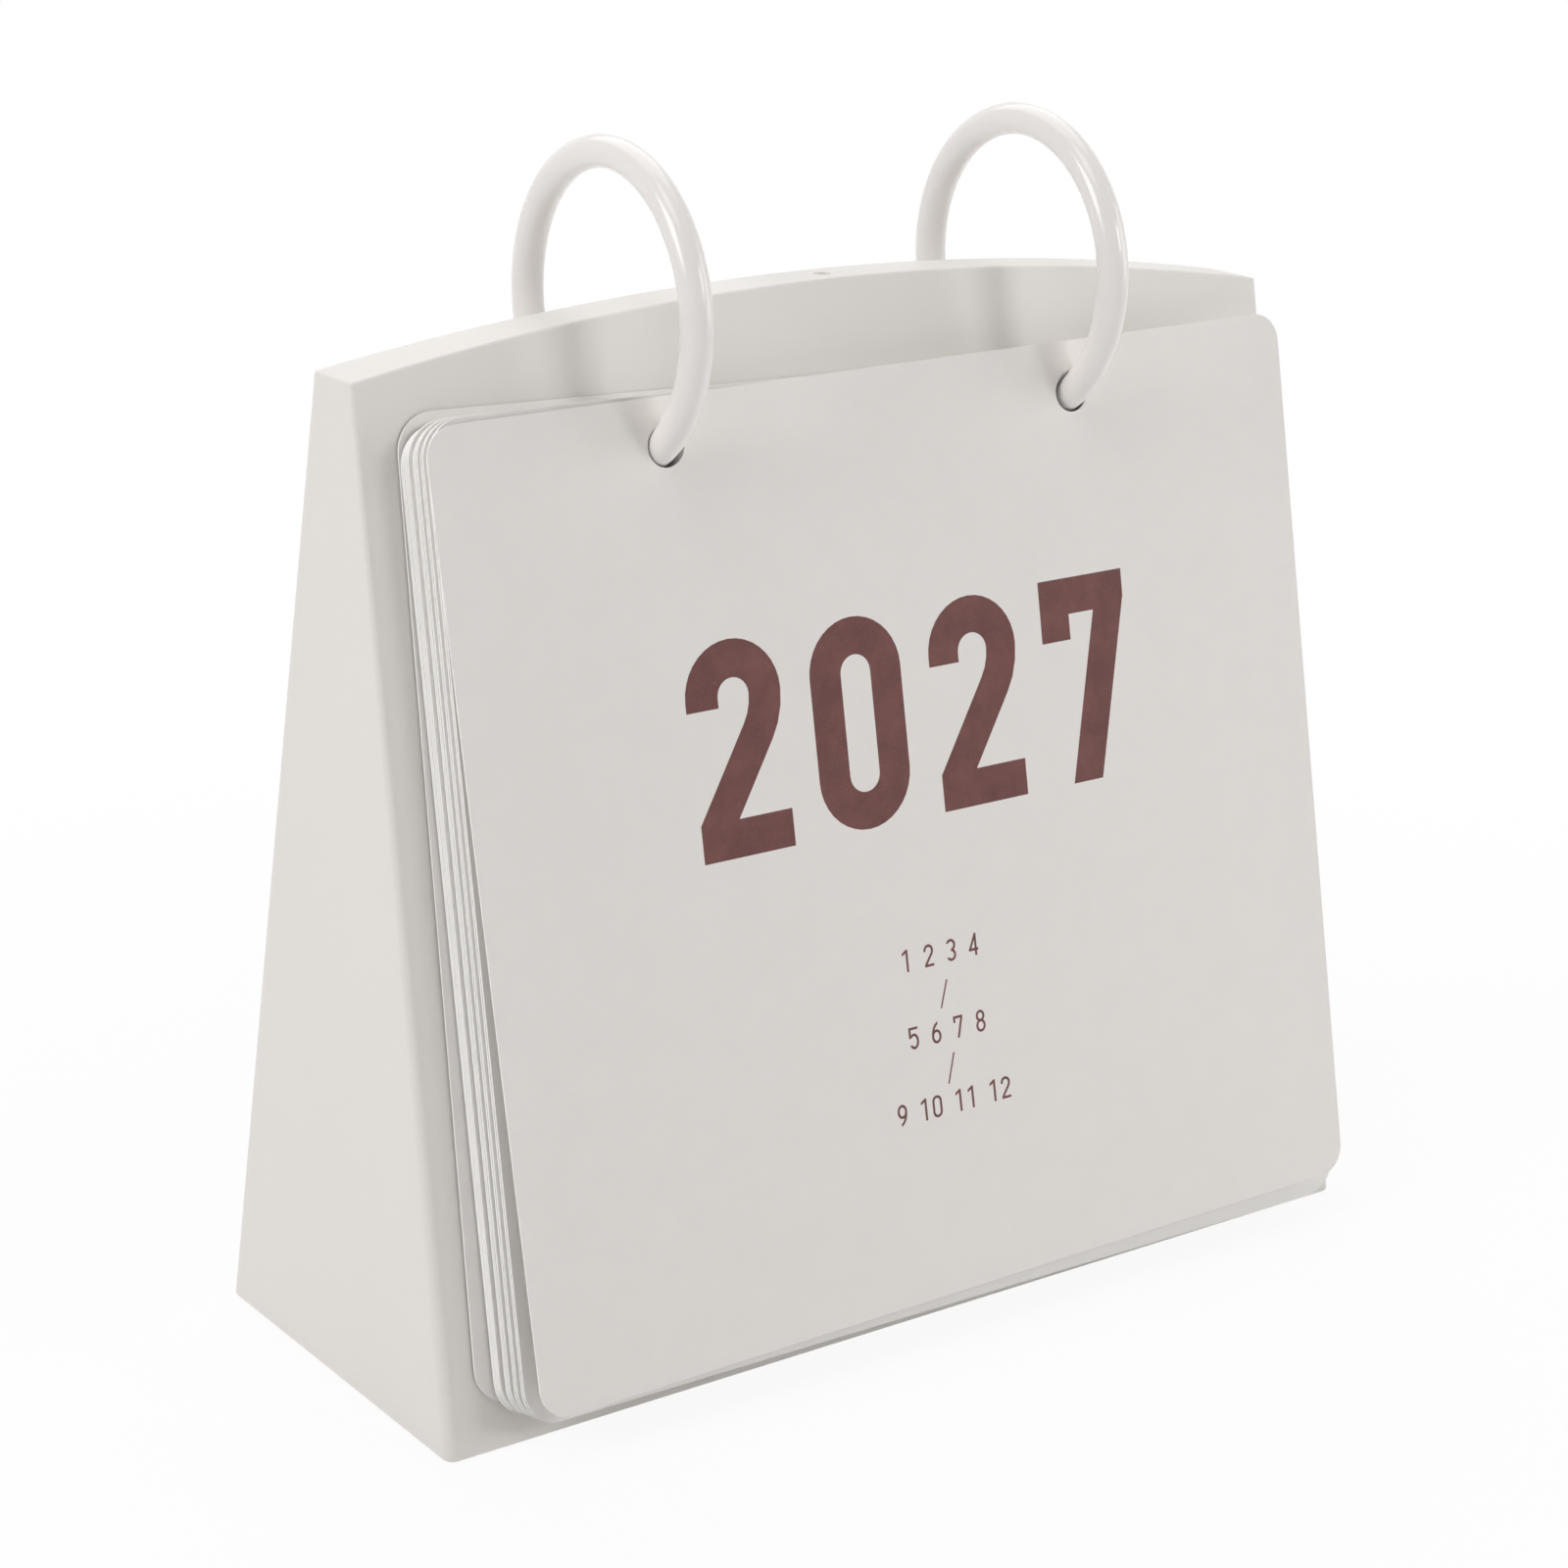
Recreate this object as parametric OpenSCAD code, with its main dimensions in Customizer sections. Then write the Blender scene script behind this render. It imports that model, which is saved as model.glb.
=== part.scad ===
// Desk calendar: a hollow wedge-shaped stand, two loop rings that pass through it,
// and a pad of loose leaves that hang on the rings and turn over the top.
// +Z is up, the front faces -Y, and the origin is the middle of the stand's foot.

/* [Stand] */
// Width of the stand at its foot
stand_w = 180; // [140:0.5:240]
// Depth of the stand at its foot, front to back
stand_d = 70; // [55:0.5:90]
// Width of the stand at the ends of its top
stand_top_w = 173.5; // [130:0.5:180]
// Depth of the stand at the ends of its top
stand_top_d = 11; // [9:0.5:20]
// Height of the stand at its ends
stand_end_h = 158; // [120:0.5:200]
// Rise of the arched top over its ends
stand_crown = 7.5; // [2:0.5:15]
// Thickness of the moulded wall
wall = 2; // [1.2:0.1:3]
// Diameter of the round moulding mark in the middle of the top
gate_d = 4; // [2:0.5:6]
// Depth of the moulding mark
gate_depth = 0.4; // [0.2:0.1:0.8]

/* [Rings] */
// Distance between the two rings
ring_spacing = 79; // [50:0.5:110]
// Inside diameter of a ring
ring_id = 41.8; // [36:0.2:60]
// Diameter of a ring's round section
ring_wire = 5; // [3:0.1:6]
// How far a ring's centre lies below the crown of the stand
ring_sink = 2; // [0:0.1:6]
// Play of a ring in its holes through the stand, on the diameter
ring_hole_play = 1.4; // [1:0.1:3]
// Gap between a ring and the lower side of its holes, where it rests
ring_seat_gap = 0.3; // [0.1:0.05:0.4]
// Width of the slit where a ring's two ends meet
slit = 0.4; // [0.2:0.1:0.8]
// Diameter of the peg on one end of a ring
peg_d = 2; // [1.2:0.1:2.4]
// Length of the peg beyond the slit
peg_len = 3.5; // [2:0.1:5]
// Gap between the peg and its socket, all round
peg_gap = 0.2; // [0.1:0.05:0.3]

/* [Leaves] */
// Width of a leaf
leaf_w = 164; // [110:0.5:220]
// Height of a leaf
leaf_h = 149; // [80:0.5:155]
// Thickness of the card
leaf_t = 0.3; // [0.15:0.01:0.4]
// Radius of a leaf's corners
leaf_corner = 6; // [2:0.5:15]
// Play of a leaf's holes on the rings, on the diameter
leaf_hole_play = 2; // [1.6:0.1:4]
// Distance from the middle of the holes up to a leaf's top edge
hole_edge = 9; // [6:0.1:14]
// Distance of a leaf's middle to the right of the middle of its holes
punch_offset = 2.2; // [-4:0.1:4]

/* [Pad] */
// Air between the stand's front and the back leaf
panel_gap = 0.3; // [0.1:0.05:1]
// Air between two month leaves, next to the rings
leaf_gap = 0.12; // [0.08:0.01:0.3]
// Extra air between the back leaf and the month leaves
back_air = 0.25; // [0:0.05:0.6]
// Extra air between the month leaves and the cover
cover_air = 0.5; // [0:0.05:1]
// Extra lean of the foremost month leaf, in degrees
month_flare = 0.4; // [0:0.05:1]
// Extra lean of the cover, in degrees
cover_flare = 0.7; // [0:0.05:2]
// Turn of the back leaf in its own plane, as a share of what its holes allow
back_turn = -0.93; // [-1:0.01:1]
// Turn of the hindmost month leaf, as a share of what its holes allow
last_turn = -0.4; // [-1:0.01:1]
// Turn of the foremost month leaf, as a share of what its holes allow
first_turn = -0.75; // [-1:0.01:1]
// Turn of the cover, as a share of what its holes allow
cover_turn = 0.43; // [-1:0.01:1]
// Sideways slip of the back leaf on the rings, as a share of what its holes allow
back_slip = -0.3; // [-0.9:0.01:0.9]
// Sideways slip of the hindmost month leaf, as a share of what its holes allow
last_slip = -0.35; // [-0.9:0.01:0.9]
// Sideways slip of the foremost month leaf, as a share of what its holes allow
first_slip = 0.47; // [-0.9:0.01:0.9]
// Sideways slip of the cover, as a share of what its holes allow
cover_slip = 0.35; // [-0.9:0.01:0.9]
// Least gap between a ring and the edge of a leaf's hole
hang_gap = 0.2; // [0.1:0.05:0.3]

/* [Hidden] */
$fn = 96;
arc_fn = 360;

months = 12;
month_name = function (m) str("month_leaf_", m < 10 ? "0" : "", m);

plastic_white = [0.93, 0.92, 0.91];
ring_white = [0.95, 0.94, 0.93];
card_white = [0.90, 0.89, 0.87];

// Stand: both long faces lean back alike, both ends lean in alike, and the top is one arc
crown_z = stand_end_h + stand_crown;
face_lean = atan((stand_d - stand_top_d) / 2 / stand_end_h);
end_lean = atan((stand_w - stand_top_w) / 2 / stand_end_h);
arch_r = (pow(stand_top_w / 2, 2) + pow(stand_crown, 2)) / (2 * stand_crown);
past = 1;

// Rings: full loops about one axis that runs along the stand
ring_r = (ring_id + ring_wire) / 2;
axis_z = crown_z - ring_sink;
panel_out = stand_d / 2 * cos(face_lean) - axis_z * sin(face_lean);
ring_hole_d = ring_wire + ring_hole_play;
wall_out = panel_out - wall / 2;
wall_slope = asin(wall_out / ring_r);
wire_in_wall = ring_wire / cos(wall_slope) + wall * tan(wall_slope);
ring_hole_rise = (ring_hole_d - wire_in_wall) / 2 - ring_seat_gap;

// Pad: each leaf lies at its own distance in front of the ring axis, and hangs in its holes
leaf_hole_d = ring_wire + leaf_hole_play;
pitch = leaf_t + leaf_gap;
back_out = panel_out + panel_gap + leaf_t / 2;
last_out = back_out + pitch + back_air;
first_out = last_out + (months - 1) * pitch;
cover_out = first_out + pitch + cover_air;

function month_share(m) = (months - m) / (months - 1);
function blend(from, to, share) = from + (to - from) * share;
function crossing(out) = sqrt(pow(ring_r, 2) - pow(out, 2));
function wire_in_leaf(out) = ring_wire / cos(asin(out / ring_r)) + leaf_t * out / crossing(out);
// How far a leaf's holes can move across and along the rings before they meet them
across_play = leaf_hole_play / 2 - hang_gap;
function along_play(out, slip) =
    ((leaf_hole_d - wire_in_leaf(out)) / 2 - hang_gap) * sqrt(1 - pow(slip, 2));
function leaf_skew(out, turn, slip) = asin(turn * along_play(out, slip) / (ring_spacing / 2));
function leaf_hang(out, turn, slip) = along_play(out, slip) * (1 - abs(turn));

// Section of the stand across its length, drawn in by a margin
module stand_section(margin, foot) {
    half = function (z) stand_d / 2 - z * tan(face_lean) - margin / cos(face_lean);
    top = crown_z + past;
    polygon([[-half(foot), foot], [half(foot), foot], [half(top), top], [-half(top), top]]);
}

// Front view of the stand, drawn in by a margin
module stand_front(margin, foot) {
    half = function (z) stand_w / 2 - z * tan(end_lean) - margin / cos(end_lean);
    top = crown_z + past;
    intersection() {
        polygon([[-half(foot), foot], [half(foot), foot], [half(top), top], [-half(top), top]]);
        translate([0, crown_z - arch_r])
            circle(r = arch_r - margin, $fn = arc_fn);
    }
}

module stand_form(margin, foot) {
    intersection() {
        rotate([90, 0, 90])
            linear_extrude(height = stand_w + 2 * past, center = true)
                stand_section(margin, foot);
        rotate([90, 0, 0])
            linear_extrude(height = stand_d + 2 * past, center = true)
                stand_front(margin, foot);
    }
}

// One hole square through a long face, where a ring passes
module ring_hole() {
    translate([0, 0, axis_z])
        rotate([90 - face_lean, 0, 0])
            translate([0, ring_hole_rise - crossing(wall_out), wall_out - 2 * wall])
                cylinder(d = ring_hole_d, h = 4 * wall);
}

module stand_shell() {
    color(plastic_white)
        difference() {
            stand_form(0, 0);
            stand_form(wall, -past);
            for (side = [-1, 1])
                for (turn = [0, 180])
                    rotate([0, 0, turn])
                        translate([side * ring_spacing / 2, 0, 0])
                            ring_hole();
            translate([0, 0, crown_z - gate_depth])
                cylinder(d = gate_d, h = gate_depth + past);
        }
}

// A split loop: its ends meet at the lowest point, inside the stand, with a peg in a socket
module ring(side) {
    color(ring_white)
        translate([side * ring_spacing / 2, 0, axis_z])
            rotate([0, 90, 0]) {
                difference() {
                    rotate_extrude()
                        translate([ring_r, 0])
                            circle(d = ring_wire);
                    translate([ring_r, 0, 0])
                        cube([2 * ring_wire, slit, 2 * ring_wire], center = true);
                    translate([ring_r, 0, 0])
                        rotate([-90, 0, 0])
                            cylinder(d = peg_d + 2 * peg_gap, h = slit / 2 + peg_len + peg_gap);
                }
                translate([ring_r, -slit / 2 - peg_d / 2, 0])
                    rotate([-90, 0, 0])
                        cylinder(d = peg_d, h = peg_d / 2 + slit + peg_len);
            }
}

module left_ring() {
    ring(-1);
}

module right_ring() {
    ring(1);
}

// Flat shape of a leaf, about the middle of its two holes
module leaf_outline() {
    difference() {
        translate([punch_offset, hole_edge - leaf_h / 2]) {
            square([leaf_w, leaf_h - 2 * leaf_corner], center = true);
            square([leaf_w - 2 * leaf_corner, leaf_h], center = true);
            for (x = [-1, 1])
                for (y = [-1, 1])
                    translate([x * (leaf_w / 2 - leaf_corner), y * (leaf_h / 2 - leaf_corner)])
                        circle(r = leaf_corner);
        }
        for (side = [-1, 1])
            translate([side * ring_spacing / 2, 0])
                circle(d = leaf_hole_d);
    }
}

// A leaf at a distance in front of the ring axis. It hangs on the rings, or is pushed up on them
module leaf(out, flare, turn, slip, hangs = 1) {
    drop = crossing(out) + hangs * leaf_hang(out, turn, slip);
    color(card_white)
        translate([0, 0, axis_z])
            rotate([90 - face_lean - flare, 0, 0])
                translate([slip * across_play, -drop, out - leaf_t / 2])
                    rotate([0, 0, leaf_skew(out, turn, slip)])
                        linear_extrude(height = leaf_t)
                            leaf_outline();
}

module back_leaf() {
    leaf(back_out, 0, back_turn, back_slip, hangs = -1);
}

// Month leaves run from the last month, behind, to the first month, in front
module month_leaf(m) {
    share = month_share(m);
    leaf(
        blend(last_out, first_out, share),
        blend(0, month_flare, share),
        blend(last_turn, first_turn, share),
        blend(last_slip, first_slip, share)
    );
}

module cover_leaf() {
    leaf(cover_out, cover_flare, cover_turn, cover_slip);
}

stand_shell();
left_ring();
right_ring();
back_leaf();
for (m = [1:months])
    month_leaf(m);
cover_leaf();
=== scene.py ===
import calendar
import math
import random

import bmesh
import bpy
from mathutils import Matrix, Quaternion, Vector
from mathutils.geometry import delaunay_2d_cdt


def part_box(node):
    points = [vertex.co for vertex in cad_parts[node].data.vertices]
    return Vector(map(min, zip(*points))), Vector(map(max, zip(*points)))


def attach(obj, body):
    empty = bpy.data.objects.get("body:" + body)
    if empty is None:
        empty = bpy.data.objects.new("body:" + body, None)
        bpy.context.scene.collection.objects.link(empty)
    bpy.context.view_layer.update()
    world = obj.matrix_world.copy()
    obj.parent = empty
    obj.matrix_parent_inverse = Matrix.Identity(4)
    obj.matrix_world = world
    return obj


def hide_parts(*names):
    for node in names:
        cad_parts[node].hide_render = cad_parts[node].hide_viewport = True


# The calendar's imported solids, in metres: +Z is up, the front faces -Y, and the origin is
# the middle of the stand's foot. Every piece below is made where its solid lies.
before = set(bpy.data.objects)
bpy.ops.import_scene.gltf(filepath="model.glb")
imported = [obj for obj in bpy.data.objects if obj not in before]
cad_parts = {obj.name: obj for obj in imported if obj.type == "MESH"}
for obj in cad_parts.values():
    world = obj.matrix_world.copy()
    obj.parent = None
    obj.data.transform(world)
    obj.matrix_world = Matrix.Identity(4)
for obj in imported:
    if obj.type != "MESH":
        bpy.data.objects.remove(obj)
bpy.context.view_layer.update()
MM = 0.001

# Stand: a hollow wedge that is moulded in one piece from matte white plastic, open underneath.
# Its walls lean in to the arched top, every outer edge is rounded, and each ring runs
# through two holes in its long faces. The moulding gate left a round mark on the crown.
WALL = 2.0 * MM
ARCH_ROUND = 0.45 * MM
CORNER_ROUND = 0.7 * MM
CORNER_FOOT_ROUND = 1.8 * MM
ARCH_END_ROUND = 0.45 * MM
FOOT_ROUND = 0.7 * MM
RIM_ROUND = 0.25 * MM
ROUND_STEPS = 5
RIM_STEPS = 2
ARCH_STEPS = 51
# Edges that turn by more than these are rounded, eased after the cuts, and shaded sharp
ROUNDED_ABOVE = math.radians(20)
EASED_ABOVE = math.radians(50)
SHARP_ABOVE = math.radians(35)
HOLE_SIDES = 48
RING_HOLE_R = 3.2 * MM
RING_HOLE_RISE = 0.23 * MM
GATE_R = 1.35 * MM
GATE_DEPTH = 0.8 * MM

half_w, half_d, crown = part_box("stand_shell")[1]
shell_points = [v.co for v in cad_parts["stand_shell"].data.vertices]
arch_end = max(shell_points, key=lambda p: p.x + p.z)
face_slope = (half_d - abs(arch_end.y)) / arch_end.z
end_slope = (half_w - arch_end.x) / arch_end.z
arch_rise = crown - arch_end.z
arch_r = (arch_end.x ** 2 + arch_rise ** 2) / (2 * arch_rise)


def wedge(inset, foot):
    """The stand's closed form, drawn in by an inset and cut level at the foot."""
    radius = arch_r - inset
    arch_z = crown - arch_r
    reach_x = half_w - inset * math.hypot(1, end_slope)
    reach_y = half_d - inset * math.hypot(1, face_slope)
    # Height at which the arch runs into the leaning ends
    a = 1 + end_slope ** 2
    b = reach_x * end_slope + arch_z
    c = reach_x ** 2 + arch_z ** 2 - radius ** 2
    end_z = (b + math.sqrt(b ** 2 - a * c)) / a
    half_arch = math.asin((reach_x - end_z * end_slope) / radius)
    foot_x = reach_x - foot * end_slope
    outline = [(-foot_x, foot), (foot_x, foot)]
    for i in range(ARCH_STEPS + 1):
        turn = half_arch * (1 - 2 * i / ARCH_STEPS)
        outline.append((radius * math.sin(turn), arch_z + radius * math.cos(turn)))
    form = bmesh.new()
    front = [form.verts.new((x, z * face_slope - reach_y, z)) for x, z in outline]
    rear = [form.verts.new((x, reach_y - z * face_slope, z)) for x, z in outline]
    form.faces.new(front)
    form.faces.new(reversed(rear))
    for i in range(len(outline)):
        j = (i + 1) % len(outline)
        form.faces.new((front[j], front[i], rear[i], rear[j]))
    form.normal_update()
    return form


def new_piece(name, form):
    """A new object in the scene with this form as its mesh."""
    mesh = bpy.data.meshes.new(name)
    form.to_mesh(mesh)
    form.free()
    piece = bpy.data.objects.new(name, mesh)
    bpy.context.scene.collection.objects.link(piece)
    return piece


def settle(piece):
    """Applies a piece's modifiers to its mesh."""
    graph = bpy.context.evaluated_depsgraph_get()
    mesh = bpy.data.meshes.new_from_object(piece.evaluated_get(graph))
    piece.modifiers.clear()
    piece.data = mesh


def cut_away(piece, tools):
    """Cuts closed tools out of a piece, one after the other."""
    for tool in tools:
        cut = piece.modifiers.new("cut", "BOOLEAN")
        cut.operation = "DIFFERENCE"
        cut.solver = "EXACT"
        cut.object = tool
    settle(piece)
    for tool in tools:
        bpy.data.objects.remove(tool)


def round_bar(start, end, radius):
    """A closed round bar between two points, as a cutting tool."""
    form = bmesh.new()
    along = end - start
    bmesh.ops.create_cone(
        form, cap_ends=True, segments=HOLE_SIDES, radius1=radius, radius2=radius, depth=along.length
    )
    turn = along.to_track_quat("Z", "Y").to_matrix()
    bmesh.ops.rotate(form, verts=form.verts, matrix=turn)
    bmesh.ops.translate(form, verts=form.verts, vec=(start + end) / 2)
    return form


def smooth_shade(piece):
    """Smooth shading that keeps flat faces flat and edges above an angle sharp."""
    piece.data.shade_smooth()
    piece.data.set_sharp_from_angle(angle=SHARP_ABOVE)
    weigh = piece.modifiers.new("flat_faces", "WEIGHTED_NORMAL")
    weigh.keep_sharp = True
    settle(piece)


outer = wedge(0, 0)
rounding = outer.edges.layers.float.new("bevel_weight_edge")
for edge in outer.edges:
    if len(edge.link_faces) < 2 or edge.calc_face_angle() < ROUNDED_ABOVE:
        continue
    low, high = sorted(v.co.z for v in edge.verts)
    along_x = abs(edge.verts[0].co.x - edge.verts[1].co.x)
    if high < FOOT_ROUND:
        size = FOOT_ROUND
    elif low < FOOT_ROUND:
        size = CORNER_ROUND
    else:
        size = ARCH_ROUND if along_x > FOOT_ROUND else ARCH_END_ROUND
    edge[rounding] = size / CORNER_ROUND
stand = new_piece("stand_moulding", outer)
rounded = stand.modifiers.new("rounded_edges", "BEVEL")
rounded.limit_method = "WEIGHT"
rounded.width = CORNER_ROUND
rounded.segments = ROUND_STEPS
settle(stand)
# The upright edges grow rounder towards the foot
widen = CORNER_FOOT_ROUND / CORNER_ROUND - 1
near_foot = 2 * CORNER_ROUND
near_corner = 1.5 * CORNER_ROUND
for v in stand.data.vertices:
    in_x = half_w - v.co.z * end_slope - abs(v.co.x)
    in_y = half_d - v.co.z * face_slope - abs(v.co.y)
    if v.co.z < near_foot and max(in_x, in_y) < near_corner:
        v.co.x -= math.copysign(widen * in_x, v.co.x)
        v.co.y -= math.copysign(widen * in_y, v.co.y)

face_normal = Vector((0, -1, face_slope)).normalized()
face_up = Vector((0, face_slope, 1)).normalized()
cutters = [new_piece("hollow", wedge(WALL, -WALL))]
for node in ("left_ring", "right_ring"):
    ring_low, ring_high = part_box(node)
    middle = (ring_low + ring_high) / 2
    centre_r = (ring_high.z - ring_low.z - (ring_high.x - ring_low.x)) / 2
    # Distance from the ring's axis out to the middle of the wall
    wall_out = half_d / math.hypot(1, face_slope) - middle.z * face_normal.z - WALL / 2
    drop = math.sqrt(centre_r ** 2 - wall_out ** 2) - RING_HOLE_RISE
    for side in (1, -1):
        normal = Vector((0, side * face_normal.y, face_normal.z))
        up = Vector((0, side * face_up.y, face_up.z))
        hole = middle + normal * wall_out - up * drop
        bar = round_bar(hole - normal * 2 * WALL, hole + normal * 2 * WALL, RING_HOLE_R)
        cutters.append(new_piece("ring_hole", bar))
gate_foot = Vector((0, 0, crown - GATE_DEPTH))
gate_bar = round_bar(gate_foot, gate_foot + Vector((0, 0, WALL)), GATE_R)
cutters.append(new_piece("gate_mark", gate_bar))
cut_away(stand, cutters)
eased = stand.modifiers.new("eased_rims", "BEVEL")
eased.limit_method = "ANGLE"
eased.angle_limit = EASED_ABOVE
eased.width = RIM_ROUND
eased.segments = RIM_STEPS
settle(stand)
smooth_shade(stand)


def shader_group(name, inputs, outputs):
    """An empty shader node group with named sockets, and its two end nodes."""
    group = bpy.data.node_groups.new(name, "ShaderNodeTree")
    for direction, sockets in (("INPUT", inputs), ("OUTPUT", outputs)):
        for socket, kind in sockets.items():
            group.interface.new_socket(socket, in_out=direction, socket_type="NodeSocket" + kind)
    return group, group.nodes.new("NodeGroupInput"), group.nodes.new("NodeGroupOutput")


def add_node(tree, kind, **values):
    """A shader node with some of its inputs or settings given by name."""
    node = tree.nodes.new("ShaderNode" + kind)
    for name, value in values.items():
        if hasattr(node, name):
            setattr(node, name, value)
        else:
            node.inputs[name].default_value = value
    return node


def add_math(tree, operation, first, second):
    """A maths node on two sockets or numbers. Gives its output socket."""
    node = add_node(tree, "Math", operation=operation)
    for slot, value in zip(node.inputs, (first, second)):
        if isinstance(value, (int, float)):
            slot.default_value = value
        else:
            tree.links.new(value, slot)
    return node.outputs[0]


NOISE_MIDDLE = 0.5


def vary_tone(tree, tone, noise, share):
    """A tone made lighter and darker by a share of a noise. Gives its colour's socket."""
    sway = add_math(tree, "SUBTRACT", noise, NOISE_MIDDLE)
    bright = add_math(tree, "ADD", add_math(tree, "MULTIPLY", sway, share), 1.0)
    tint = add_node(tree, "VectorMath", operation="SCALE")
    tree.links.new(tone, tint.inputs[0])
    tree.links.new(bright, tint.inputs["Scale"])
    return tint.outputs[0]


# Skin of a moulding: slow flow marks in the tone and the gloss, and a fine tool grain
GRAIN_DULL = 0.12
FLOW_DULL = 0.15
moulded_skin, given, made = shader_group(
    "moulded_skin",
    {"Tone": "Color", "Flow": "Float", "Gloss Roughness": "Float", "Grain Size": "Float"},
    {"Color": "Color", "Roughness": "Float", "Height": "Float"},
)
spot = add_node(moulded_skin, "TexCoord")
flow = add_node(moulded_skin, "TexNoise", Scale=24.0, Detail=3.0, Roughness=0.45, Distortion=0.6)
grain = add_node(moulded_skin, "TexNoise", Detail=2.0, Roughness=0.6)
moulded_skin.links.new(spot.outputs["Object"], flow.inputs["Vector"])
moulded_skin.links.new(spot.outputs["Object"], grain.inputs["Vector"])
moulded_skin.links.new(given.outputs["Grain Size"], grain.inputs["Scale"])
color = vary_tone(moulded_skin, given.outputs["Tone"], flow.outputs["Fac"], given.outputs["Flow"])
moulded_skin.links.new(color, made.inputs["Color"])
dull = given.outputs["Gloss Roughness"]
for noise, share in ((grain, GRAIN_DULL), (flow, FLOW_DULL)):
    sway = add_math(moulded_skin, "SUBTRACT", noise.outputs["Fac"], NOISE_MIDDLE)
    dull = add_math(moulded_skin, "ADD", dull, add_math(moulded_skin, "MULTIPLY", sway, share))
moulded_skin.links.new(dull, made.inputs["Roughness"])
moulded_skin.links.new(grain.outputs["Fac"], made.inputs["Height"])

# Dust: a few fine specks that settle on the plastic and on the faces of the cards
dust_specks, given, made = shader_group(
    "dust_specks",
    {"Spread": "Float", "Share": "Float", "Size": "Float"},
    {"Mask": "Float"},
)
spot = add_node(dust_specks, "TexCoord")
cells = add_node(dust_specks, "TexVoronoi", Randomness=1.0)
dust_specks.links.new(spot.outputs["Object"], cells.inputs["Vector"])
dust_specks.links.new(given.outputs["Spread"], cells.inputs["Scale"])
pick = add_node(dust_specks, "SeparateColor")
dust_specks.links.new(cells.outputs["Color"], pick.inputs["Color"])
chosen = add_math(dust_specks, "LESS_THAN", pick.outputs["Red"], given.outputs["Share"])
near = add_node(dust_specks, "MapRange", **{"From Min": 0.0, "To Min": 1.0, "To Max": 0.0})
dust_specks.links.new(cells.outputs["Distance"], near.inputs["Value"])
reach = add_math(dust_specks, "MULTIPLY", given.outputs["Size"], pick.outputs["Green"])
dust_specks.links.new(reach, near.inputs["From Max"])
mask = add_math(dust_specks, "MULTIPLY", chosen, near.outputs["Result"])
dust_specks.links.new(mask, made.inputs["Mask"])


def add_group(tree, group, **values):
    """Places a node group in a material, with its own values."""
    node = tree.nodes.new("ShaderNodeGroup")
    node.node_tree = group
    for name, value in values.items():
        node.inputs[name.replace("_", " ")].default_value = value
    return node


def lay_over(tree, color, mask, tone):
    """A surface colour with a tone laid over it by a mask. Gives the mixed colour's socket."""
    over = add_node(tree, "Mix", data_type="RGBA")
    tree.links.new(mask, over.inputs["Factor"])
    tree.links.new(color, over.inputs["A"])
    over.inputs["B"].default_value = tone
    return over.outputs["Result"]


def add_bump(tree, height, distance, strength):
    """A bump of a height given in metres. Gives its normal's socket."""
    bump = add_node(tree, "Bump", Distance=distance, Strength=strength)
    tree.links.new(height, bump.inputs["Height"])
    return bump.outputs["Normal"]


def new_material(name):
    """A new material. Gives it, its tree and its surface shader."""
    material = bpy.data.materials.new(name)
    material.use_nodes = True
    return material, material.node_tree, material.node_tree.nodes["Principled BSDF"]


DUST_TONE = (0.45, 0.41, 0.37, 1)
STAND_TONE = (0.82, 0.79, 0.754, 1)


def moulded_plastic(name, ior, skin_values, speck_values, bump_values):
    """A moulded plastic with its own skin, dust and bump."""
    material, tree, surface = new_material(name)
    skin = add_group(tree, moulded_skin, **skin_values)
    specks = add_group(tree, dust_specks, **speck_values)
    color = lay_over(tree, skin.outputs["Color"], specks.outputs["Mask"], DUST_TONE)
    tree.links.new(color, surface.inputs["Base Color"])
    tree.links.new(skin.outputs["Roughness"], surface.inputs["Roughness"])
    tree.links.new(add_bump(tree, skin.outputs["Height"], **bump_values), surface.inputs["Normal"])
    surface.inputs["IOR"].default_value = ior
    return material


matte_plastic = moulded_plastic(
    "matte_white_plastic",
    1.49,
    dict(Tone=STAND_TONE, Flow=0.035, Gloss_Roughness=0.42, Grain_Size=2600.0),
    dict(Spread=90.0, Share=0.05, Size=0.035),
    dict(distance=0.03 * MM, strength=0.35),
)
stand.data.materials.clear()
stand.data.materials.append(matte_plastic)
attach(stand, "stand")
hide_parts("stand_shell")

# Rings: two round loops of glossy white plastic. Each is moulded open, threaded through the
# stand and the leaves, and closed by a peg in its one end that snaps into the other. The
# mould's halves leave a fine seam round the outside and the inside.
WIRE_SIDES = 40
LOOP_STEPS = 240
SLIT = 0.4 * MM
END_EASE = 0.2 * MM
PEG_R = 1.0 * MM
PEG_LENGTH = 3.5 * MM
PEG_GAP = 0.2 * MM
SEAM_HEIGHT = 0.03 * MM
RING_TONE = (0.885, 0.848, 0.823, 1)


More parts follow.
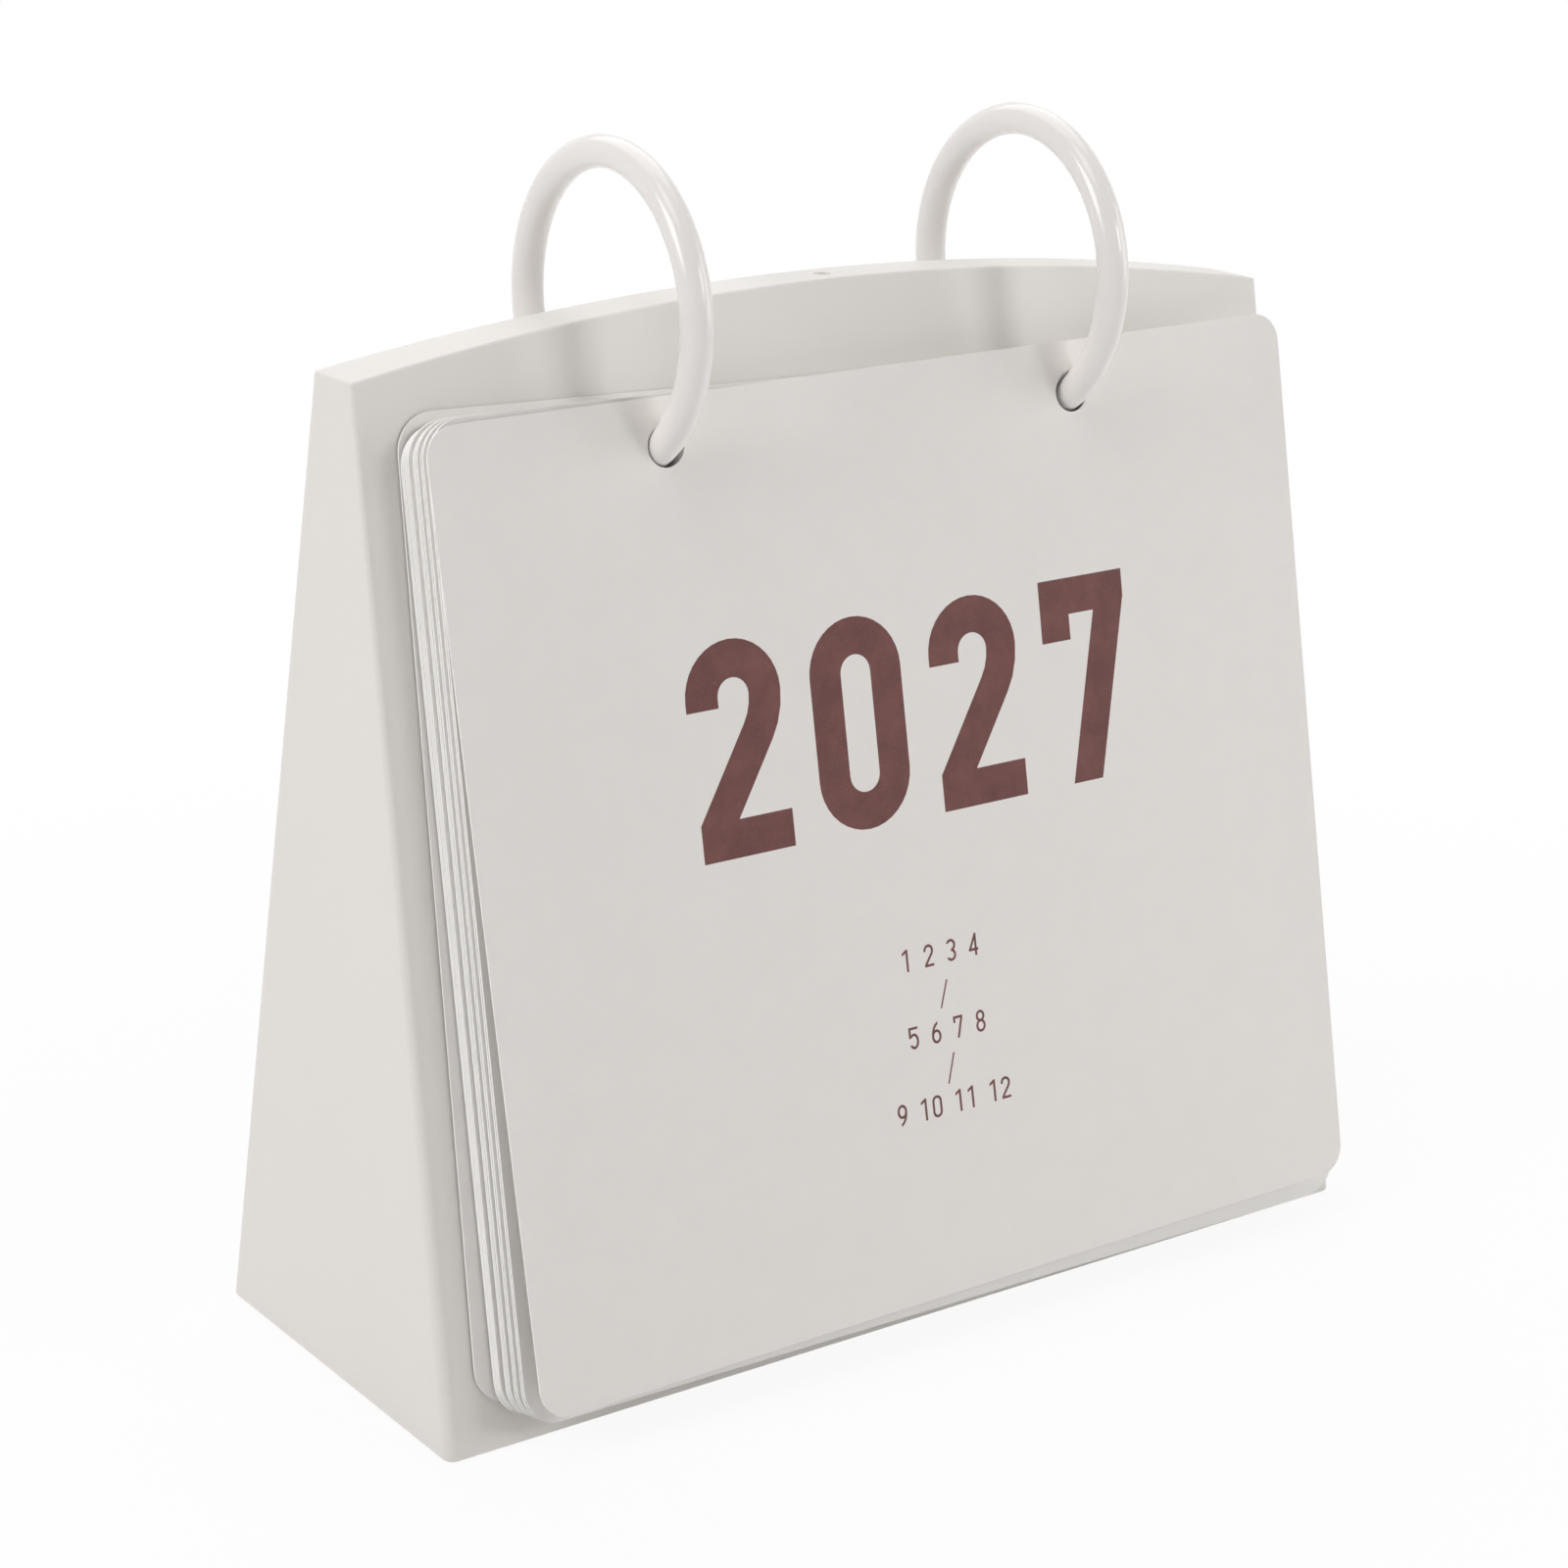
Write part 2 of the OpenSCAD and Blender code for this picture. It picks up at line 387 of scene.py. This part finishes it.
def split_loop(middle, loop_r, wire_r):
    """A round wire swept about the X axis from its socket end to its peg end."""
    slit = SLIT / 2 / loop_r
    ease = END_EASE / loop_r
    socket = slit + (PEG_LENGTH + PEG_GAP) / loop_r
    peg = 2 * math.pi + slit + PEG_LENGTH / loop_r
    first, last = slit + ease, 2 * math.pi - slit - ease
    stations = [(socket, 0), (socket, PEG_R + PEG_GAP), (slit, PEG_R + PEG_GAP)]
    stations.append((slit, wire_r - END_EASE))
    stations += [(first + (last - first) * i / LOOP_STEPS, wire_r) for i in range(LOOP_STEPS + 1)]
    stations.append((last + ease, wire_r - END_EASE))
    stations += [(last + ease, PEG_R), (peg - ease, PEG_R), (peg, PEG_R - END_EASE), (peg, 0)]
    form = bmesh.new()
    rounds = []
    for turn, radius in stations:
        out = Vector((0, math.sin(turn), -math.cos(turn)))
        centre = middle + out * loop_r
        if radius == 0:
            rounds.append([form.verts.new(centre)])
            continue
        row = []
        for k in range(WIRE_SIDES):
            side = 2 * math.pi * k / WIRE_SIDES
            on_seam = radius == wire_r and k % (WIRE_SIDES // 2) == 0
            reach = radius + SEAM_HEIGHT * on_seam
            aside = out * math.cos(side) + Vector((math.sin(side), 0, 0))
            row.append(form.verts.new(centre + reach * aside))
        rounds.append(row)
    for row, after in zip(rounds, rounds[1:]):
        for k in range(WIRE_SIDES):
            j = (k + 1) % WIRE_SIDES
            corners = [row[k % len(row)], row[j % len(row)], after[j % len(after)], after[k % len(after)]]
            form.faces.new(list(dict.fromkeys(corners)))
    bmesh.ops.recalc_face_normals(form, faces=form.faces)
    return form


gloss_plastic = moulded_plastic(
    "gloss_white_plastic",
    1.5,
    dict(Tone=RING_TONE, Flow=0.03, Gloss_Roughness=0.17, Grain_Size=1400.0),
    dict(Spread=140.0, Share=0.06, Size=0.06),
    dict(distance=0.02 * MM, strength=0.15),
)
for side in ("left", "right"):
    ring_low, ring_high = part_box(side + "_ring")
    wire_r = (ring_high.x - ring_low.x) / 2
    loop_r = (ring_high.z - ring_low.z) / 2 - wire_r
    ring = new_piece(side + "_split_ring", split_loop((ring_low + ring_high) / 2, loop_r, wire_r))
    smooth_shade(ring)
    ring.data.materials.append(gloss_plastic)
    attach(ring, side + "_ring")
    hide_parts(side + "_ring")

# Back leaf: a plain sheet of stiff white card that lies against the stand. It is die cut with
# round corners and two punched holes, a little askew to them, and hangs loose on both rings.
LEAF_CORNER = 6.0 * MM
BACK_SHIFT = 0.65 * MM
BACK_SHORT = 1.0 * MM
BACK_TALL = 0.3 * MM
BACK_SKEW = math.radians(0.62)
# The back and month cards' tone is lighter than the cover's. Part of that is white stock, and part is
# painted fill light for their strips in shade beside and behind the cover and the other cards.
CARD_TONE_WITH_PAINTED_FILL = (0.92, 0.896, 0.868, 1)
CUT_TONE = (0.93, 0.912, 0.887, 1)
INK_TONE = (0.174, 0.072, 0.0665, 1)
FLECK_TONE = (0.80, 0.72, 0.68, 1)
# Spacing of the points inside a card's outline, and how far they keep from its holes
GRID = 8.0 * MM
HOLE_MARGIN = 1.0 * MM
# Degrees between the points of an arc, and of one below a small radius, and the fewest steps
ARC_STEP = 10
SMALL_ARC_STEP = 20
SMALL_ARC = 2 * MM
LEAST_ARC_STEPS = 3
# A card's material slots after 0, which is its faces
CUT_EDGE = 1
PRINT = 2
# How the card's outlines are filled with triangles: inside them alone, points this close as one
FILL_INSIDE = 1
FILL_MERGE = 1e-7
# Least share of a normal that faces the front, and up
FACES_FRONT = 0.5
FACES_UP = 0.9


def leaf_as_hung(node):
    """A leaf's axes, size and holes, read from its solid as it hangs."""
    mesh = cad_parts[node].data
    front = max((f for f in mesh.polygons if -f.normal.y > FACES_FRONT), key=lambda f: f.area)
    top = max((f for f in mesh.polygons if f.normal.z > FACES_UP), key=lambda f: f.area)
    out, up = front.normal.copy(), top.normal.copy()
    axes = (up.cross(out), up, out)
    spots = [Vector([axis.dot(v.co) for axis in axes]) for v in mesh.vertices]
    low = Vector(map(min, *spots))
    high = Vector(map(max, *spots))
    middle, size = (low + high) / 2, high - low
    # Only the holes' rims lie well inside the outline
    edge_x, edge_y = size.x / 2 - LEAF_CORNER / 2, size.y / 2 - LEAF_CORNER / 2
    inner = [p - middle for p in spots if abs(p.x - middle.x) < edge_x and abs(p.y - middle.y) < edge_y]
    holes = []
    for side in (-1, 1):
        rim = [p for p in inner if p.x * side > 0]
        left, right = min(p.x for p in rim), max(p.x for p in rim)
        low_y, high_y = min(p.y for p in rim), max(p.y for p in rim)
        holes.append(((left + right) / 2, (low_y + high_y) / 2, (right - left) / 2))
    return axes, middle, size, holes


def arc(x, y, radius, start, end, radius_y=None):
    """Points along a round or oval arc, between two angles in degrees."""
    step = ARC_STEP if radius > SMALL_ARC else SMALL_ARC_STEP
    steps = max(LEAST_ARC_STEPS, round(abs(end - start) / step))
    turns = [math.radians(start + (end - start) * i / steps) for i in range(steps + 1)]
    return [Vector((x + radius * math.cos(a), y + (radius_y or radius) * math.sin(a))) for a in turns]


def card(size, holes, margins, print_lines=(), bow=lambda x, y: 0.0, corner=LEAF_CORNER):
    """A die-cut card about its middle. Faces take material 0, cut edges 1 and print 2."""
    left, right = margins[0] - size.x / 2, size.x / 2 - margins[1]
    bottom, top = margins[2] - size.y / 2, size.y / 2 - margins[3]
    outline = arc(right - corner, top - corner, corner, 0, 90)
    outline += arc(left + corner, top - corner, corner, 90, 180)
    outline += arc(left + corner, bottom + corner, corner, 180, 270)
    outline += arc(right - corner, bottom + corner, corner, 270, 360)
    rims = [outline] + [arc(x, y, hole_r, 0, 360)[:-1] for x, y, hole_r in holes]
    columns, rows = int(size.x / GRID), int(size.y / GRID)
    grid = []
    for i in range(1, columns):
        for j in range(1, rows):
            grid.append(Vector((left + (right - left) * i / columns, bottom + (top - bottom) * j / rows)))
    for x, y, hole_r in holes:
        grid = [p for p in grid if math.hypot(p.x - x, p.y - y) > hole_r + HOLE_MARGIN]
    punched = set(range(1, len(rims)))
    form = bmesh.new()
    sides = []
    for face_out, lines in ((size.z / 2, print_lines), (-size.z / 2, ())):
        loops = rims + [line for line, kind in lines]
        points, faces = [], []
        for loop in loops:
            faces.append(list(range(len(points), len(points) + len(loop))))
            points += loop
        filled = delaunay_2d_cdt(points + grid, [], faces, FILL_INSIDE, FILL_MERGE, True)
        flat, _, triangles, came_from, _, inside = filled
        verts = [form.verts.new((p.x, p.y, face_out + bow(p.x, p.y))) for p in flat]
        spot_of = {start: i for i, starts in enumerate(came_from) for start in starts}
        kinds = {len(rims) + i: kind for i, (line, kind) in enumerate(lines)}
        for triangle, within in zip(triangles, inside):
            if punched & set(within):
                continue
            corners = [verts[i] for i in triangle]
            face = form.faces.new(corners if face_out > 0 else corners[::-1])
            marks = {kinds[i] for i in within if i in kinds}
            if "ink" in marks or ("loop" in marks and "counter" not in marks):
                face.material_index = PRINT
        sides.append([[verts[spot_of[i]] for i in loop] for loop in faces[: len(rims)]])
    for front, back in zip(*sides):
        for i in range(len(front)):
            j = (i + 1) % len(front)
            edge = [front[i], back[i], back[j], front[j]]
            if len(set(edge)) == 4:
                form.faces.new(edge).material_index = CUT_EDGE
    bmesh.ops.recalc_face_normals(form, faces=form.faces)
    return form


def hang(name, node, form, axes, middle, face):
    """Puts a card where its leaf's solid hangs, in place of it."""
    for v in form.verts:
        v.co = sum((axis * s for axis, s in zip(axes, v.co + middle)), Vector())
    leaf = new_piece(name, form)
    smooth_shade(leaf)
    for material in (face, card_edge, print_ink):
        leaf.data.materials.append(material)
    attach(leaf, node)
    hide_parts(node)


# Fibre of the card: a faint cloudiness in the tone, and a tooth too fine to feel
card_fibre, given, made = shader_group(
    "card_fibre", {"Tone": "Color", "Cloud": "Float"}, {"Color": "Color", "Tooth": "Float"}
)
spot = add_node(card_fibre, "TexCoord")
cloud = add_node(card_fibre, "TexNoise", Scale=160.0, Detail=6.0, Roughness=0.62)
tooth = add_node(card_fibre, "TexNoise", Scale=5200.0, Detail=2.0, Roughness=0.7)
card_fibre.links.new(spot.outputs["Object"], cloud.inputs["Vector"])
card_fibre.links.new(spot.outputs["Object"], tooth.inputs["Vector"])
color = vary_tone(card_fibre, given.outputs["Tone"], cloud.outputs["Fac"], given.outputs["Cloud"])
card_fibre.links.new(color, made.inputs["Color"])
card_fibre.links.new(tooth.outputs["Fac"], made.inputs["Tooth"])


def card_stock(name, tone):
    """The face of a card of one tone."""
    material, tree, surface = new_material(name)
    fibre = add_group(tree, card_fibre, Tone=tone, Cloud=0.05)
    specks = add_group(tree, dust_specks, Spread=70.0, Share=0.06, Size=0.03)
    color = lay_over(tree, fibre.outputs["Color"], specks.outputs["Mask"], DUST_TONE)
    tree.links.new(color, surface.inputs["Base Color"])
    normal = add_bump(tree, fibre.outputs["Tooth"], distance=0.02 * MM, strength=0.3)
    tree.links.new(normal, surface.inputs["Normal"])
    surface.inputs["Roughness"].default_value = 0.62
    surface.inputs["IOR"].default_value = 1.42
    return material


# Face of the back and month cards: white stock, lightened further as painted fill light where they lie in
# shade.
card_face_with_painted_fill = card_stock("white_card_face_with_painted_fill", CARD_TONE_WITH_PAINTED_FILL)

card_edge, tree, surface = new_material("card_cut_edge")
fibre = add_group(tree, card_fibre, Tone=CUT_TONE, Cloud=0.12)
tree.links.new(fibre.outputs["Color"], surface.inputs["Base Color"])
normal = add_bump(tree, fibre.outputs["Tooth"], distance=0.04 * MM, strength=0.5)
tree.links.new(normal, surface.inputs["Normal"])
surface.inputs["Roughness"].default_value = 0.8
surface.inputs["IOR"].default_value = 1.4

# Ink lies thin on the card, so the tooth shows through it as fine light flecks
print_ink, tree, surface = new_material("brown_print_ink")
fibre = add_group(tree, card_fibre, Tone=INK_TONE, Cloud=0.9)
flecks = add_node(tree, "MapRange", **{"From Min": 0.6, "From Max": 0.78, "To Max": 0.14})
tree.links.new(fibre.outputs["Tooth"], flecks.inputs["Value"])
color = lay_over(tree, fibre.outputs["Color"], flecks.outputs["Result"], FLECK_TONE)
tree.links.new(color, surface.inputs["Base Color"])
normal = add_bump(tree, fibre.outputs["Tooth"], distance=0.02 * MM, strength=0.3)
tree.links.new(normal, surface.inputs["Normal"])
surface.inputs["Roughness"].default_value = 0.6
surface.inputs["IOR"].default_value = 1.3

axes, middle, size, holes = leaf_as_hung("back_leaf")
punch = Vector([sum(place) / 2 for place in zip(*holes)])
askew = Matrix.Rotation(BACK_SKEW, 2)
holes = [(*(punch.xy + askew @ (Vector((x, y)) - punch.xy)), hole_r) for x, y, hole_r in holes]
form = card(size, holes, (-BACK_SHIFT, BACK_SHIFT, BACK_SHORT, -BACK_TALL))
bmesh.ops.rotate(form, verts=form.verts, cent=(*punch.xy, 0), matrix=Matrix.Rotation(-BACK_SKEW, 3, "Z"))
hang("back_card", "back_leaf", form, axes, middle, card_face_with_painted_fill)

# Month leaves: twelve stiff printed cards, one behind the other, the last month at the back. They
# are cut in four small lots that cling together, so each lot's edges differ a little from the
# next. Each card shows its month's number and its days in plain brown figures.
YEAR = 2027
MONTH_CARD = 0.39 * MM
# Cards in each lot, from the back, and how far in its left edge, foot and top are cut
LOTS = (
    (5, -0.60 * MM, 0.4 * MM, -0.1 * MM),
    (3, -0.10 * MM, -0.5 * MM, 0.3 * MM),
    (2, 0.30 * MM, -1.4 * MM, 0.7 * MM),
    (2, 0.70 * MM, -2.1 * MM, 1.0 * MM),
)
CLING_FOOT = 0.09 * MM
TRIM_WANDER = 0.02 * MM
TRIM_SEED = 12
# Each figure's width, height and pen weight
MONTH_FIGURE = (11.5 * MM, 22 * MM, 3.9 * MM)
DAY_FIGURE = (2.7 * MM, 4.8 * MM, 0.6 * MM)
MONTH_GAP = 3.6 * MM
MONTH_BASE = 26 * MM
DAY_GAP = 0.8 * MM
DAY_COLUMN = 20 * MM
DAY_ROW = 14.5 * MM
DAY_BASE = 6 * MM
MIDDLE_COLUMN = 3
RULE_WEIGHT = 0.3 * MM
RULE_HALF = 3.3 * DAY_COLUMN
RULE_DROP = 7 * MM


def pen_line(line, weight, closed=False):
    """The outlines of a pen line of one weight. Open ends are cut level or upright."""
    sides = ([], [])
    for i, point in enumerate(line):
        ways = []
        if closed or i > 0:
            ways.append((point - line[i - 1]).normalized())
        if closed or i < len(line) - 1:
            ways.append((line[(i + 1) % len(line)] - point).normalized())
        normals = [Vector((-way.y, way.x)) for way in ways]
        across = sum(normals, Vector((0, 0)))
        if len(ways) == 1:
            across = Vector((1, 0)) if abs(ways[0].y) > abs(ways[0].x) else Vector((0, 1))
        step = across * (weight / 2 / across.dot(normals[0]))
        sides[0].append(point - step)
        sides[1].append(point + step)
    if closed:
        return [(sides[0], "loop"), (sides[1], "counter")]
    return [(sides[0] + sides[1][::-1], "ink")]


def figure(digit, w, h, weight):
    """The outlines of one plain figure in a box from (0, 0) to (w, h). Its bends are shares of the box."""
    left, right, mid = weight / 2, w - weight / 2, w / 2
    base, top = weight / 2, h - weight / 2
    r = mid - left

    def pen(*parts, closed=False):
        line = []
        for part in parts:
            line += part if isinstance(part, list) else [Vector(part)]
        return pen_line(line, weight, closed)

    def oval(y, radius_y, radius_x=r):
        return pen(arc(mid, y, radius_x, 0, 360, radius_y)[:-1], closed=True)

    if digit == "0":
        return pen(arc(mid, top - r, r, 0, 180), arc(mid, base + r, r, 180, 360), closed=True)
    if digit == "1":
        stem = mid + 0.1 * w
        return pen((stem, h), (stem, 0)) + pen((left, 0.8 * h), (stem, top))
    if digit == "2":
        bend = 0.62 * w
        turn_x, turn_y = right - bend, top - r
        to = Vector((0.03 * w + 0.6 * weight - turn_x, weight - turn_y))
        meet = math.atan2(to.y, to.x) + math.acos(bend / to.length)
        neck = arc(turn_x, turn_y, bend, 0, math.degrees(meet))[1:]
        bowl = pen((left, top - r - 0.045 * h), arc(mid, top - r, r, 180, 0), neck, (to.x + turn_x, weight))
        return bowl + pen((0.03 * w, base), (w, base))
    if digit == "3":
        ry = (top - base) / 4
        return pen(arc(mid, top - ry, r, 155, -90, ry)) + pen(arc(mid, base + ry, r, 90, -155, ry))
    if digit == "4":
        stem, bar = 0.74 * w, 0.28 * h
        return pen((stem, h), (stem, 0)) + pen((stem, top), (left, bar)) + pen((0, bar), (w, bar))
    if digit == "5":
        ry = 0.3 * h
        bowl = pen(arc(mid, base + ry, r, 140, -150, ry))
        return bowl + pen((w - 0.04 * w, top), (left, top), (left, base + 1.5 * ry))
    if digit in "69":
        ry = 0.26 * h
        tail = arc(right, base + ry, right - left, 180, 105, top - base - ry)
        shape = oval(base + ry, ry) + pen(tail)
        if digit == "6":
            return shape
        return [([Vector((w - p.x, h - p.y)) for p in line], kind) for line, kind in shape]
    if digit == "7":
        half, foot = 0.515 * weight, 0.41 * w
        kink, under = h - 0.75 * weight, h - weight
        lean = (w - foot - half) / kink
        hook = [(0, h), (0, 0.7 * h), (weight, 0.7 * h), (weight, under)]
        stem = [(foot - half + lean * under, under), (foot - half, 0), (foot + half, 0), (w, kink), (w, h)]
        return [([Vector(p) for p in hook + stem], "ink")]
    ry = 0.235 * (top - base)
    return oval(top - ry, ry, 0.9 * r) + oval(base + (top - base) / 2 - ry, (top - base) / 2 - ry)


def number(text, x, y, box, gap):
    """The outlines of a row of figures, centred at x and standing on y."""
    w, h, weight = box
    start = x - (len(text) * (w + gap) - gap) / 2
    lines = []
    for i, digit in enumerate(text):
        corner = Vector((start + i * (w + gap), y))
        lines += [([p + corner for p in line], kind) for line, kind in figure(digit, w, h, weight)]
    return lines


def month_print(month):
    """A month's number over a rule and its days in seven columns."""
    lines = number(str(month), 0, MONTH_BASE, MONTH_FIGURE, MONTH_GAP)
    rule_y = MONTH_BASE - RULE_DROP
    lines += pen_line([Vector((-RULE_HALF, rule_y)), Vector((RULE_HALF, rule_y))], RULE_WEIGHT)
    for row, week in enumerate(calendar.monthcalendar(YEAR, month)):
        for column, day in enumerate(week):
            if day:
                x, y = (column - MIDDLE_COLUMN) * DAY_COLUMN, DAY_BASE - row * DAY_ROW
                lines += number(str(day), x, y, DAY_FIGURE, DAY_GAP)
    return lines


def cling(steps, height):
    """How far a card bends towards the middle of its lot, so many cards away, at a place on it."""
    return lambda x, y: steps * CLING_FOOT * (0.5 - y / height)


trimmer = random.Random(TRIM_SEED)
month = 12
for lot, left_cut, foot_cut, top_cut in LOTS:
    for place in range(lot):
        node = f"month_leaf_{month:02d}"
        axes, middle, size, holes = leaf_as_hung(node)
        size.z = MONTH_CARD
        cuts = (left_cut, -left_cut, foot_cut, top_cut)
        trim = [cut + trimmer.uniform(-TRIM_WANDER, TRIM_WANDER) for cut in cuts]
        bend = cling((lot - 1) / 2 - place, size.y)
        form = card(size, holes, trim, month_print(month), bend)
        hang(f"month_card_{month:02d}", node, form, axes, middle, card_face_with_painted_fill)
        month -= 1

# Cover: the front card, a shade darker, with the year in tall brown figures and the months'
# numbers in three small rows below. As a loose card it isn't quite flat: it bows back along its
# right side, its lower left corner curls forward and its upper left corner droops.
YEAR_FIGURE = (17.5 * MM, 33.5 * MM, 5.9 * MM)
YEAR_GAP = 5.6 * MM
YEAR_SHIFT = 0.46 * MM
YEAR_BASE = 2.33 * MM
ROW_FIGURE = (1.9 * MM, 3.6 * MM, 0.42 * MM)
ROW_GAP = 0.6 * MM
ROW_SPACE = 2.6 * MM
ROW_MONTHS = 4
ROW_BASES = (-21.5 * MM, -34.0 * MM, -45.8 * MM)
SLASHES = ((-24.2 * MM, -28.6 * MM), (-36.1 * MM, -40.9 * MM))
SLASH_LEAN = 1.6 * MM
COVER_CORNER = 4.8 * MM
COVER_TOP_CUT = 0.7 * MM
COVER_DROOP = 0.95 * MM
COVER_BOW = 0.7 * MM
COVER_CURL = 1.9 * MM
COVER_HOLE_R = 3.3 * MM
# How far each hole lies to the right of its solid's, and above it
COVER_HOLE_SHIFTS = ((0.15 * MM, 0.68 * MM), (-0.6 * MM, 0.0))
TINTED_TONE = (0.882, 0.845, 0.811, 1)


def cover_print():
    """The year, the twelve months' numbers in rows of four, and strokes between the rows."""
    lines = number(str(YEAR), YEAR_SHIFT, YEAR_BASE, YEAR_FIGURE, YEAR_GAP)
    for row, base in enumerate(ROW_BASES):
        words = [str(row * ROW_MONTHS + i + 1) for i in range(ROW_MONTHS)]
        step = ROW_FIGURE[0] + ROW_GAP
        width = sum(len(word) * step for word in words) + (ROW_MONTHS - 1) * (ROW_SPACE - ROW_GAP)
        x = -width / 2
        for word in words:
            lines += number(word, x + len(word) * step / 2, base, ROW_FIGURE, ROW_GAP)
            x += len(word) * step + ROW_SPACE - ROW_GAP
    for top, bottom in SLASHES:
        ends = [Vector((SLASH_LEAN / 2, top)), Vector((-SLASH_LEAN / 2, bottom))]
        lines += pen_line(ends, RULE_WEIGHT)
    return lines


axes, middle, size, holes = leaf_as_hung("cover_leaf")
cover_w, cover_h = size.xy
holes = [(x + right, y + up, COVER_HOLE_R) for (x, y, _), (right, up) in zip(holes, COVER_HOLE_SHIFTS)]


def cover_bow(x, y):
    """How far the cover stands out from flat, at a place on it."""
    left, low = 0.5 - x / cover_w, 0.5 - y / cover_h
    return COVER_CURL * left ** 2 * low ** 4 - COVER_BOW * (1 - left) * math.sin(math.pi * low)


form = card(size, holes, (0, 0, 0, COVER_TOP_CUT), cover_print(), cover_bow, COVER_CORNER)
for v in form.verts:
    v.co.y -= COVER_DROOP * (0.5 - v.co.x / cover_w) ** 2 * (0.5 + v.co.y / cover_h) ** 4
cover_face = card_stock("tinted_card_face", TINTED_TONE)
hang("cover_card", "cover_leaf", form, axes, middle, cover_face)

# Studio: a wide pale floor, five square soft lamps and a long lens at the photograph's place. The
# key lamp stands in front to the right with a wide one beside it, two light the left side, and one
# hangs behind. The floor takes the object's shadow near it and is plain white further off.
FLOOR_HALF = 8.0
# Share of the floor's own shade near the object, and from where to where it fades to white
FLOOR_SHARE = 0.09
SHADE_NEAR = 0.10
SHADE_FAR = 0.34
FLOOR_TONE = (0.92, 0.92, 0.92, 1)
WHITE = (1, 1, 1, 1)
WORLD_LIGHT = 0.09
floor_form = bmesh.new()
bmesh.ops.create_grid(floor_form, x_segments=8, y_segments=8, size=FLOOR_HALF)
floor = new_piece("floor", floor_form)


def seen_directly(tree):
    """1 for rays that show a thing by itself, in gloss or through glass, and 0 for light."""
    path = add_node(tree, "LightPath")
    seen = add_math(tree, "MAXIMUM", path.outputs["Is Camera Ray"], path.outputs["Is Glossy Ray"])
    return add_math(tree, "MAXIMUM", seen, path.outputs["Is Transmission Ray"])


floor_paint, tree, surface = new_material("pale_floor")
surface.inputs["Base Color"].default_value = FLOOR_TONE
surface.inputs["Roughness"].default_value = 0.9
white = add_node(tree, "Emission", Strength=1.0)
blend = add_node(tree, "MixShader")
spot = add_node(tree, "TexCoord")
reach = add_node(tree, "VectorMath", operation="LENGTH")
tree.links.new(spot.outputs["Object"], reach.inputs[0])
whiten = add_node(
    tree, "MapRange", **{"From Min": SHADE_NEAR, "From Max": SHADE_FAR, "To Min": 1 - FLOOR_SHARE}
)
tree.links.new(reach.outputs["Value"], whiten.inputs["Value"])
paleness = add_math(tree, "MULTIPLY", seen_directly(tree), whiten.outputs["Result"])
tree.links.new(paleness, blend.inputs[0])
tree.links.new(surface.outputs[0], blend.inputs[1])
tree.links.new(white.outputs[0], blend.inputs[2])
tree.links.new(blend.outputs[0], tree.nodes["Material Output"].inputs["Surface"])
floor.data.materials.append(floor_paint)

world = bpy.data.worlds.new("studio")
bpy.context.scene.world = world
world.use_nodes = True
tree = world.node_tree
tree.nodes["Background"].inputs["Strength"].default_value = WORLD_LIGHT
tree.nodes["Background"].inputs["Color"].default_value = WHITE
backdrop = add_node(tree, "Background", Strength=1.0, Color=WHITE)
blend = add_node(tree, "MixShader")
tree.links.new(seen_directly(tree), blend.inputs[0])
tree.links.new(tree.nodes["Background"].outputs[0], blend.inputs[1])
tree.links.new(backdrop.outputs[0], blend.inputs[2])
tree.links.new(blend.outputs[0], tree.nodes["World Output"].inputs["Surface"])

AIM = Vector((0, 0, 0.09))
LAMP_DISTANCE = 1.4
# Each lamp's azimuth from the front, to the right, and its elevation, then its width and power
LAMPS = {
    "key_softbox": (27.5, 23, 0.36, 3.55),
    "right_softbox": (61, 13, 0.80, 5.1),
    "left_softbox": (-90, 28, 0.60, 8.1),
    "high_left_softbox": (-60, 66, 0.60, 3.0),
    "back_softbox": (155, 60, 1.50, 11.0),
}
for name, (azimuth, elevation, width, power) in LAMPS.items():
    lamp = bpy.data.lights.new(name, "AREA")
    lamp.shape = "SQUARE"
    lamp.size = width
    lamp.energy = power
    around, above = math.radians(azimuth), math.radians(elevation)
    way = Vector((
        math.sin(around) * math.cos(above),
        -math.cos(around) * math.cos(above),
        math.sin(above),
    ))
    lamp_object = bpy.data.objects.new(name, lamp)
    lamp_object.location = AIM + way * LAMP_DISTANCE
    lamp_object.rotation_mode = "QUATERNION"
    lamp_object.rotation_quaternion = (-way).to_track_quat("-Z", "Y")
    bpy.context.scene.collection.objects.link(lamp_object)

EYE = Vector((-328.26, -447.61, 261.27)) * MM
EYE_AZIMUTH = math.radians(-35.788)
EYE_ELEVATION = math.radians(17.938)
EYE_ROLL = math.radians(1.056)
LENS = 82.03
ahead = Vector((
    -math.sin(EYE_AZIMUTH) * math.cos(EYE_ELEVATION),
    math.cos(EYE_AZIMUTH) * math.cos(EYE_ELEVATION),
    -math.sin(EYE_ELEVATION),
))
lens = bpy.data.cameras.new("camera")
lens.lens = LENS
lens.sensor_width = 36
lens.clip_start = 0.01
camera = bpy.data.objects.new("camera", lens)
camera.location = EYE
camera.rotation_mode = "QUATERNION"
camera.rotation_quaternion = ahead.to_track_quat("-Z", "Y") @ Quaternion((0, 0, 1), EYE_ROLL)
bpy.context.scene.collection.objects.link(camera)
bpy.context.scene.camera = camera
bpy.context.scene.view_settings.view_transform = "Standard"
